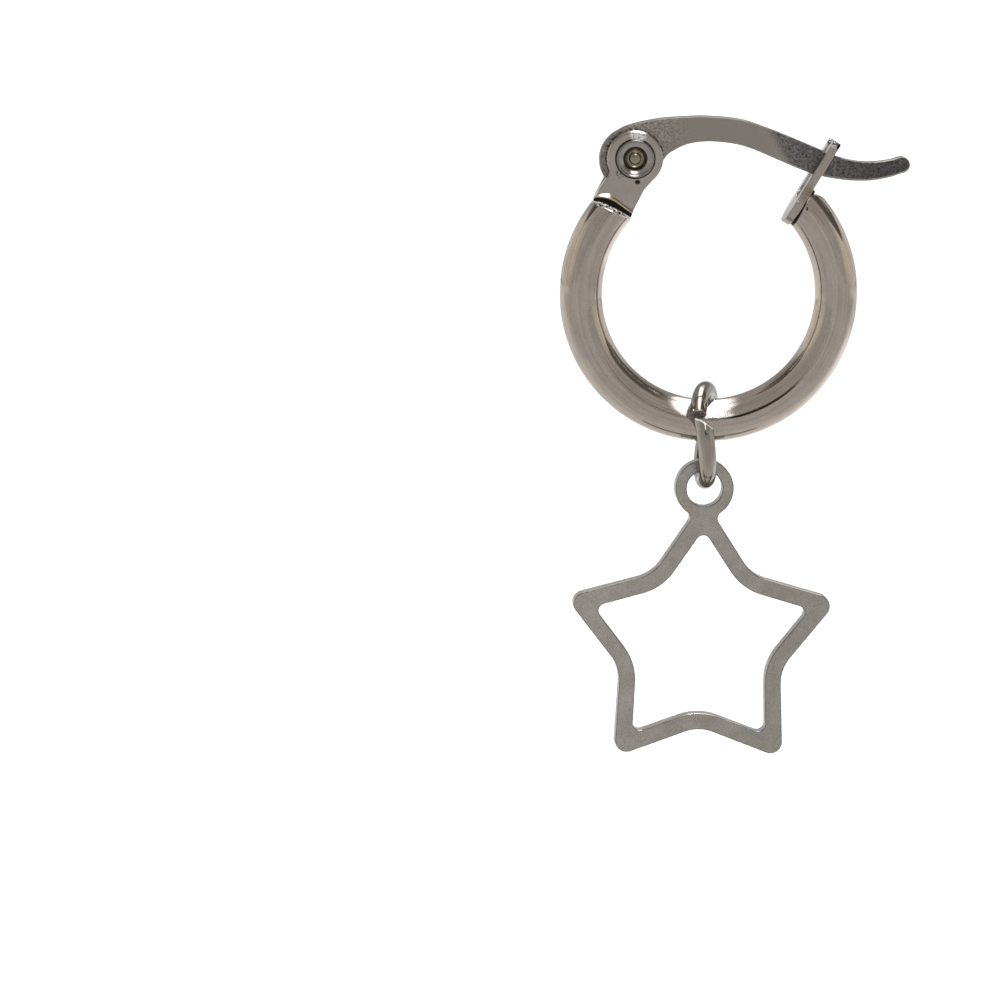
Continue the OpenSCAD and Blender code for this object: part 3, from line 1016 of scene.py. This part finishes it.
class Steel(Nodes):
    """A metal with wear: a slow drift between two tones with a fine grain. Places are (x, z) in the hoop's
    plane, and a mark there goes through the metal from front to back."""

    def __init__(self, name, roughness, grain, tones=None, mottle=0.06, rim=0.75, streak=0.0):
        self.material = bpy.data.materials.new(name)
        super().__init__(self.material)
        here = self.add("ShaderNodeTexCoord")["Object"]
        self.where = self.vector("SUBTRACT", self.scaled(here, 1 / MM), tuple(HOOP_CENTRE))
        self.fine = self.noise(11.0, detail=4.0)
        if tones:
            drift = self.noise(0.9).spread(0.35, 0.65)
            self.colour = self.blend(drift, tone(*tones[0]), tone(*tones[1]))
            self.shade(self.fine.spread(0.3, 0.7, 1 - mottle, 1 + mottle))
        self.roughness = self.fine.spread(0.3, 0.7, *roughness)
        self.normal = None
        self.emboss(self.fine, grain)
        self.shader.inputs["Metallic"].default_value = 1.0
        self.shader.inputs["Specular Tint"].default_value = tone(rim, rim, rim)
        if streak:
            drawn = self.vector("MULTIPLY", self.attribute("streak", "Vector"), (6.0, 6.0, 0.12))
            lines = self.noise(1.6, detail=5.0, where=drawn)
            self.shade(lines.spread(0.3, 0.7, 0.86, 1.12))
            self.emboss(lines, streak)

    def noise(self, scale, detail=3.0, roughness=0.55, where=None):
        inputs = {"Vector": where or self.where, "Scale": scale, "Detail": detail, "Roughness": roughness}
        return Value(self, self.add("ShaderNodeTexNoise", inputs)["Fac"])

    def attribute(self, name, output="Fac"):
        """What the mesh holds under this name."""
        socket = self.add("ShaderNodeAttribute", attribute_name=name)[output]
        return Value(self, socket) if output == "Fac" else socket

    def depth_under(self, looks, place):
        """Millimetres under a plane that passes through the place and looks in a direction."""
        height = self.vector("DOT_PRODUCT", self.where, (looks[0], 0, looks[1]), output="Value")
        return float(place @ looks) - Value(self, height)

    def away(self, place, stretch=1.0):
        """Millimetres from the place, squeezed along z by the stretch."""
        moved = self.vector("SUBTRACT", self.where, (place[0], 0, place[1]))
        flat = self.vector("MULTIPLY", moved, (1, 0, 1 / stretch))
        return Value(self, self.vector("LENGTH", flat, output="Value"))

    def spot(self, place, inner, outer, stretch=1.0):
        """1 near the place, 0 away from it; stretched along z if asked."""
        return self.away(place, stretch).fade(inner, outer)

    def mark(self, share, colour):
        """Tints the metal where share is 1."""
        self.colour = self.blend(share, self.colour, tone(*colour))

    def shade(self, factor):
        self.colour = self.scaled(self.colour, factor)

    def emboss(self, height, distance):
        """Adds a relief to what there is, with its full height in millimetres."""
        inputs = {"Height": height, "Distance": distance * MM}
        if self.normal:
            inputs["Normal"] = self.normal
        self.normal = self.add("ShaderNodeBump", inputs)[0]

    def done(self):
        self.give(self.shader.inputs["Base Color"], self.colour)
        self.give(self.shader.inputs["Roughness"], self.roughness)
        self.give(self.shader.inputs["Normal"], self.normal)
        return self.material


def bar_metal():
    """Polished, drawn bar, with a small dark spot near the catch, a painted highlight along its rim at the
    hinge end, painted shade in the gap under the catch plate, and scuffed under the ring, where a lighter
    colour is a painted highlight.
    """
    steel = Steel("polished_bar_steel", (0.05, 0.09), 0.0010, BRIGHT, streak=0.003)
    steel.mark(steel.spot((4.436, 4.09), 0.03, 0.06, 2.2), (0.06, 0.05, 0.04))
    x, _, z = steel.split(steel.where)
    # Painted highlight: a speckled, near-white colour on the bar's rim at the hinge end
    rim = steel.depth_under(END_UP, HINGE_END).fade(0.07, 0.12) * x.fade(-3.2, -3.0)
    steel.mark(rim * steel.fine.ease(0.44, 0.5), (0.98, 0.97, 0.94))
    # Painted shade: near black along the bar's end, in the gap under the catch plate
    gap = steel.depth_under(-PLATE_THROUGH, CATCH_END) - z.spread(3.4, 4.6, 0.15, 0.02)
    steel.mark(gap.fade(0.0, 0.03) * x.ease(2.0, 2.2), (0.02, 0.018, 0.016))
    # Scuffed under the ring: a real scuffed relief, and a lighter colour there that is a painted highlight
    scuff_and_highlight = steel.spot((0, -5.2), 0.7, 1.5) * z.ease(-5.95, -5.75)
    steel.mark(scuff_and_highlight, (0.62, 0.60, 0.585))
    steel.emboss(steel.fine * scuff_and_highlight, 0.008)
    return steel.done()


def bracket_metal():
    """Folded sheet with painted shade round the rivet's head, a nick under it, a painted highlight on its
    top and painted shade at the fold."""
    steel = Steel("folded_sheet_steel", (0.10, 0.18), 0.0014, SHEET, mottle=0.10)
    # Painted shade: a dark ring on the ear round the rivet's head, where the head meets it
    seam_shade = abs(steel.away(RIVET) - (RIVET_HEAD_R + 0.035))
    steel.mark(seam_shade.fade(0.02, 0.05), NEAR_BLACK)
    steel.mark(steel.spot((-3.53, 5.22), 0.09, 0.17, 0.8), NEAR_BLACK)
    grimy = steel.spot((-4.34, 5.66), 0.12, 0.36) * steel.noise(9.0).ease(0.48, 0.56)
    steel.mark(grimy, (0.09, 0.083, 0.076))
    # Painted highlight: a speckled, near-white colour on the top of the ear
    wear_and_highlight = steel.spot(RIVET + (0.12, 1.2), 0.3, 0.5) * steel.fine.ease(0.42, 0.5)
    steel.mark(wear_and_highlight, (0.92, 0.91, 0.89))
    # Painted shade: near black at the foot of the fold, where it sits on the bar
    steel.mark(steel.depth_under(END_UP, HINGE_END).ease(-0.5, -0.2), (0.07, 0.05, 0.035))
    return steel.done()


def hinge_solder_metal():
    """Solder at the fold: pale gold on its upper side; underneath, painted near black as shade, with crumbs
    whose near-white colour is a painted highlight.
    """
    steel = Steel("hinge_solder_metal", (0.08, 0.16), 0.004, GOLD_SOLDER)
    under = steel.attribute("under")
    # Painted shade: the underside is coloured near black
    steel.mark(under.ease(0.0, 0.12), PAINTED_SHADE_BLACK)
    coarse = steel.noise(7.0)
    # The crumbs are a real relief, but their near-white colour is a painted highlight
    crumbs_and_highlight = under.ease(0.55, 0.7) * coarse.ease(0.42, 0.5)
    steel.mark(crumbs_and_highlight, (0.97, 0.95, 0.90))
    steel.emboss(coarse * crumbs_and_highlight, 0.12)
    return steel.done()


def catch_metal():
    """Satin plate, lighter behind as a painted highlight, stained by heat where it is soldered on, with a
    painted highlight, broken by dark specks, at the prong's tip and a painted dark reflection beside it."""
    steel = Steel("catch_plate_steel", (0.16, 0.28), 0.002, SHEET, mottle=0.12)
    stain = steel.spot((4.45, 4.75), 0.12, 0.5, 1.3) * steel.fine.spread(0.4, 0.6, 0.3, 0.9)
    steel.mark(stain, (0.24, 0.17, 0.10))
    # Painted highlight: the back of the plate is coloured lighter
    steel.mark(steel.split(steel.where)[1].ease(0.3, 0.5), (0.86, 0.85, 0.88))
    # Painted highlight at the prong's tip, broken up by dark specks
    tip = steel.spot((5.62, 7.12), 0.12, 0.22)
    steel.mark(tip, (0.90, 0.89, 0.87))
    steel.mark(tip * steel.noise(9.0).ease(0.5, 0.54), (0.04, 0.04, 0.04))
    # Painted dark reflection: a near-black spot on the prong's top
    steel.mark(steel.spot((5.87, 7.0), 0.10, 0.17), (0.02, 0.02, 0.02))
    return steel.done()


def catch_solder_metal():
    """Solder at the catch: brown above, painted near black below as the shade in the gap."""
    steel = Steel("catch_solder_metal", (0.3, 0.45), 0.004, BROWN_SOLDER)
    # Painted shade: near black low down, in the gap between the plate's foot and the bar
    steel.mark(steel.split(steel.where)[2].fade(3.9, 4.6), PAINTED_SHADE_BLACK)
    return steel.done()


def rivet_metal():
    """A turned rivet, with fine rings round its middle and a darkened cup."""
    steel = Steel("rivet_metal", (0.10, 0.18), 0.001, TURNED)
    away = steel.away(RIVET)
    steel.emboss(steel.noise(16.0, where=steel.add("ShaderNodeCombineXYZ", {0: away})[0]), 0.01)
    # Painted highlight: a lighter ring round the cup's lip
    steel.mark(abs(away - (CUP_R + 0.06)).fade(0.08, 0.14), (0.36, 0.34, 0.32))
    steel.mark(away.fade(CUP_R - 0.10, CUP_R - 0.05), (0.33, 0.29, 0.235))
    return steel.done()


def lever_metal():
    """Satin on the left, then dark and grainy towards the tip; its rounded edges are darker, but their
    lower sides and the tip are worn bare and painted lighter as a reflection.
    """
    steel = Steel("lever_metal", (0.3, 0.42), 0.001)
    x, _, z = steel.split(steel.where)
    coarse = steel.noise(9.0, roughness=0.8)
    slanted = x + (z - 7.25) * 0.6
    dark = (slanted + (coarse - 0.5) * 1.2).ease(2.6, 3.15)
    rough = dark.at_least(x.spread(-2.6, -1.0, 0.75, 0.0))
    satin = steel.ramp(x.spread(-5.5, 7.5), [
        (0.0, (0.265, 0.240, 0.215)),
        (0.35, (0.345, 0.315, 0.284)),
        (0.6, (0.350, 0.320, 0.288)),
    ])
    dull = steel.ramp(x.spread(3.0, 7.5), [
        (0.0, (0.180, 0.165, 0.154)),
        (0.3, (0.160, 0.150, 0.143)),
        (1.0, (0.100, 0.098, 0.098)),
    ])
    steel.colour = steel.blend(dark, satin, dull)
    steel.shade(coarse.spread(0.34, 0.66, -0.7, 0.85) * rough + 1.0)
    scratch = abs(x - 5.75 - (z - 5.85) * 0.09)
    steel.mark(scratch.fade(0.01, 0.06), (0.21, 0.20, 0.19))
    # Painted shadow: a dark line on the lever along the ear's outline
    seam_shade = abs(steel.away(RIVET) - (EAR_HEAD_R + 0.03)) + coarse.spread(0.35, 0.65, -0.03, 0.06)
    steel.mark(seam_shade.fade(0.02, 0.05), (0.06, 0.055, 0.05))
    steel.mark(steel.attribute("edge").ease(0.3, 0.8), (0.15, 0.14, 0.13))
    # Lower sides of the edges and the tip: worn bare, and painted lighter as a reflection
    bare = steel.blend(x.spread(-3.5, -1.5), tone(0.20, 0.182, 0.165), tone(0.36, 0.335, 0.31))
    steel.colour = steel.blend(steel.attribute("bare").ease(0.1, 0.5), steel.colour, bare)
    steel.emboss(coarse * rough, 0.02)
    return steel.done()


def ring_metal():
    """Polished wire, rough at its two cut ends, where a darker colour is partly the dull cut metal and
    partly painted shade, with a painted highlight along the front one.
    """
    steel = Steel("ring_wire_steel", (0.05, 0.10), 0.0005, WIRE, rim=0.6, streak=0.002)
    _, across, along = steel.split(steel.attribute("streak", "Vector"))
    half = pi * RING_MID_R
    coarse = steel.noise(8.0)
    from_end = half - abs(along - half)
    # Darker at the cut ends: partly the dull cut metal, partly painted shade beside the gap between them
    cut = (from_end + coarse.spread(0.3, 0.7, -0.06, 0.06)).fade(0.03, 0.08)
    steel.mark(cut, (0.20, 0.18, 0.165))
    # Painted highlight: a near-white streak along the front end's cut
    end_highlight = along.ease(2 * half - 0.13, 2 * half - 0.10) * across.ease(-0.34, -0.28)
    steel.mark(end_highlight, (0.97, 0.96, 0.94))
    steel.emboss(coarse * cut, 0.06)
    return steel.done()


def star_metal():
    """Satin sheet, a little darker towards its right side, with a dark cut ridge along its edges."""
    steel = Steel("star_metal", (0.24, 0.34), 0.0002, SATIN, mottle=0.012, rim=0.6)
    steel.shade(steel.noise(1.7).spread(0.35, 0.65, 0.94, 1.05))
    edge = steel.attribute("edge")
    steel.mark(edge.ease(0.02, 0.15) - edge.ease(0.5, 0.8), (0.24, 0.22, 0.20))
    steel.shade(steel.split(steel.where)[0].spread(-5.0, 6.0, 1.0, 0.88))
    return steel.done()


def finish_piece(piece, material, body, slot, *nodes):
    piece.data.materials.append(material)
    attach(piece, body)
    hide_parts(*nodes)


# Room

FLOOR_DROP = 0.05  # metres from the star down to the floor
FLOOR_SIZE = 3.6
FLOOR_TONE = 0.50
FLOOR_ROUGHNESS = 0.9
BAND_LIGHT = 3.6  # brightness of the overhead band of light
BAND_LEFT = (0.08, -0.15)  # its left edge, for each unit of its height: low in front, and overhead
BAND_RIGHT = 0.46  # its right edge, the same way
LINE_HEIGHT = 0.16  # of the dark line across the front

# Spotlights: name, place, target, power, cone, softness and colour
SPOTS = [
    ("backdrop_spot", (0, 1.2, 1.6), (0, 1.0, -0.1), 180.0, 62.0, 0.3, (1.0, 1.0, 1.0)),
    ("left_spot", (-0.75, 0.25, 1.2), (-1.25, 0.25, -0.1), 52.0, 70.0, 1.0, (1.0, 0.96, 0.85)),
    ("right_spot", (0.75, 0.25, 1.2), (1.25, 0.25, -0.1), 52.0, 70.0, 1.0, (1.0, 0.96, 0.85)),
    ("near_spot", (0.10, 0.14, 0.6), (0.10, 0.14, -0.1), 26.0, 20.0, 0.4, (1.0, 1.0, 1.0)),
]
LAMP_SIZE = 0.05


def room():
    """A plain pale floor well below the hanging earring."""
    floor_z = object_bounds()[0].z - FLOOR_DROP
    bpy.ops.mesh.primitive_plane_add(size=FLOOR_SIZE, location=(0, 0, floor_z))
    floor = bpy.context.object
    floor.name = "floor"
    paint = bpy.data.materials.new("floor_paint")
    inputs = Nodes(paint).shader.inputs
    inputs["Base Color"].default_value = tone(*grey(FLOOR_TONE))
    inputs["Roughness"].default_value = FLOOR_ROUGHNESS
    floor.data.materials.append(paint)
    floor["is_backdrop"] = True


def side_arc(across, depth, height):
    """The dark arcs beside the band: larger on the right, wider with height."""
    lowest = across.spread(-0.2, 0.2, 0.40, 0.24)
    growth = across.spread(-0.2, 0.2, 2.0, 3.0)
    widest = across.spread(-0.2, 0.2, 0.3, 0.44)
    middle = across.spread(-0.2, 0.2, 0.1, 0.04)
    wide = ((height - lowest) * growth).at_most(widest)
    return (wide - abs(depth - middle)).ease(0.0, 0.08)


def overhead_band(across, depth, height):
    slope = across / height.at_least(0.05)
    left = slope - depth.spread(-0.9, -0.3, *BAND_LEFT)
    return left.ease(-0.1, 0.14) * slope.fall(BAND_RIGHT - 0.05, BAND_RIGHT + 0.05)


def front_line(across, depth, height):
    """The line just over the horizon, thickest a little left of the middle."""
    thick = across.fall(0.06, 0.11) * across.ease(-0.14, -0.04)
    line = thick.spread(0.0, 1.0, 0.04, 0.12) - abs(height - LINE_HEIGHT)
    line = line.ease(0.0, 0.02) * across.ease(-0.26, -0.12)
    return line * across.fall(0.1, 0.55) * depth.fall(-0.5, -0.2)


def sky():
    """A soft room: grey in front, lighter at the sides, white behind, and a band of light overhead
    with a dark arc on either side of it. A dark line runs across the front, just over the horizon."""
    world = bpy.data.worlds.new("room_light")
    bpy.context.scene.world = world
    nodes = Nodes(world, "Background")
    towards = nodes.split(nodes.add("ShaderNodeTexCoord")["Generated"])
    across, depth, height = towards
    sideways = abs(across)
    light = nodes.ramp(depth.spread(-1, 1), [
        (0.0, grey(0.50, 0.04)),
        (0.3, grey(0.54, 0.05)),
        (0.5, grey(0.66, 0.10)),
        (0.68, grey(1.0)),
    ])
    ceiling = height.ease(0.2, 0.34)
    over = ceiling * sideways.spread(0.5, 0.8, 0.9, 0.1)
    beside = sideways.ease(0.42, 0.5) * height.fall(0.8, 0.9)
    behind = height.ease(0.4, 0.55) * depth.fall(0.6, 0.75) * depth.ease(0.0, 0.2)
    low = height.ease(-0.1, 0.1) * height.fall(0.35, 0.6) * sideways.ease(0.75, 0.95)
    arcs = side_arc(*towards) * beside
    band = overhead_band(*towards) * ceiling * depth.fall(0.45, 0.8)
    for share, colour in [
        (over, grey(0.46, 0.04)),
        (behind * beside, grey(0.40)),
        (low, (0.80, 0.765, 0.68)),
        (arcs, grey(0.14, 0.05)),
        (band, grey(BAND_LIGHT)),
        (front_line(*towards), grey(0.03)),
    ]:
        light = nodes.blend(share, light, tone(*colour))
    nodes.give(nodes.shader.inputs["Color"], light)


def lights():
    for name, place, target, power, cone, softness, colour in SPOTS:
        light = bpy.data.lights.new(name, "SPOT")
        light.energy = power
        light.color = colour
        light.spot_size = radians(cone)
        light.spot_blend = softness
        light.shadow_soft_size = LAMP_SIZE
        made = bpy.data.objects.new(name, light)
        made.location = place
        made.rotation_euler = (Vector(target) - Vector(place)).to_track_quat("-Z", "Y").to_euler()
        bpy.context.scene.collection.objects.link(made)


def camera():
    """The photograph's view of the hanging earring, tipped by the roll."""
    az, el, roll = (radians(angle) for angle in (VIEW_AZIMUTH, VIEW_ELEVATION, VIEW_ROLL))
    level = Matrix.Rotation(az, 3, "Z") @ Matrix.Rotation(pi / 2 - el, 3, "X")
    turn = level @ Matrix.Rotation(roll, 3, "Z")
    across = (CENTRE_PIXEL[0] - PICTURE_PIXELS / 2) / PIXELS_PER_MM
    rise = (PICTURE_PIXELS / 2 - CENTRE_PIXEL[1]) / PIXELS_PER_MM
    place = Vector(HOOP_CENTRE) + turn @ Vector((-across, -rise, VIEW_DISTANCE))
    data = bpy.data.cameras.new("camera")
    data.sensor_width = SENSOR
    data.lens = VIEW_DISTANCE * PIXELS_PER_MM * SENSOR / PICTURE_PIXELS
    data.clip_start = 0.01
    made = bpy.data.objects.new("camera", data)
    made.matrix_world = Matrix.Translation(place * MM) @ turn.to_4x4()
    bpy.context.scene.collection.objects.link(made)
    bpy.context.scene.camera = made


camera()
room()
sky()
lights()
bpy.context.scene.view_settings.view_transform = "Standard"

polished = bar_metal()
solder = catch_solder_metal()
finish_piece(bar(), polished, "hoop", "polished_steel", "hoop")
finish_piece(hinge_bracket(), bracket_metal(), "hoop", "polished_steel", "hoop")
finish_piece(hinge_solder(), hinge_solder_metal(), "hoop", "polished_steel", "hoop")
finish_piece(catch_plate(), catch_metal(), "hoop", "polished_steel", "hoop")
finish_piece(catch_solder(), solder, "hoop", "polished_steel", "hoop")
finish_piece(solder_drop(), solder, "hoop", "polished_steel", "hoop")
finish_piece(hinge_rivet(), rivet_metal(), "hoop", "rivet_steel", "hinge_rivet")
finish_piece(lever(), lever_metal(), "lever", "lever_steel", "lever")
finish_piece(jump_ring(), ring_metal(), "ring", "ring_steel", "jump_ring")
finish_piece(star_charm(), star_metal(), "star", "satin_steel", "star_charm")

bpy.context.view_layer.update()
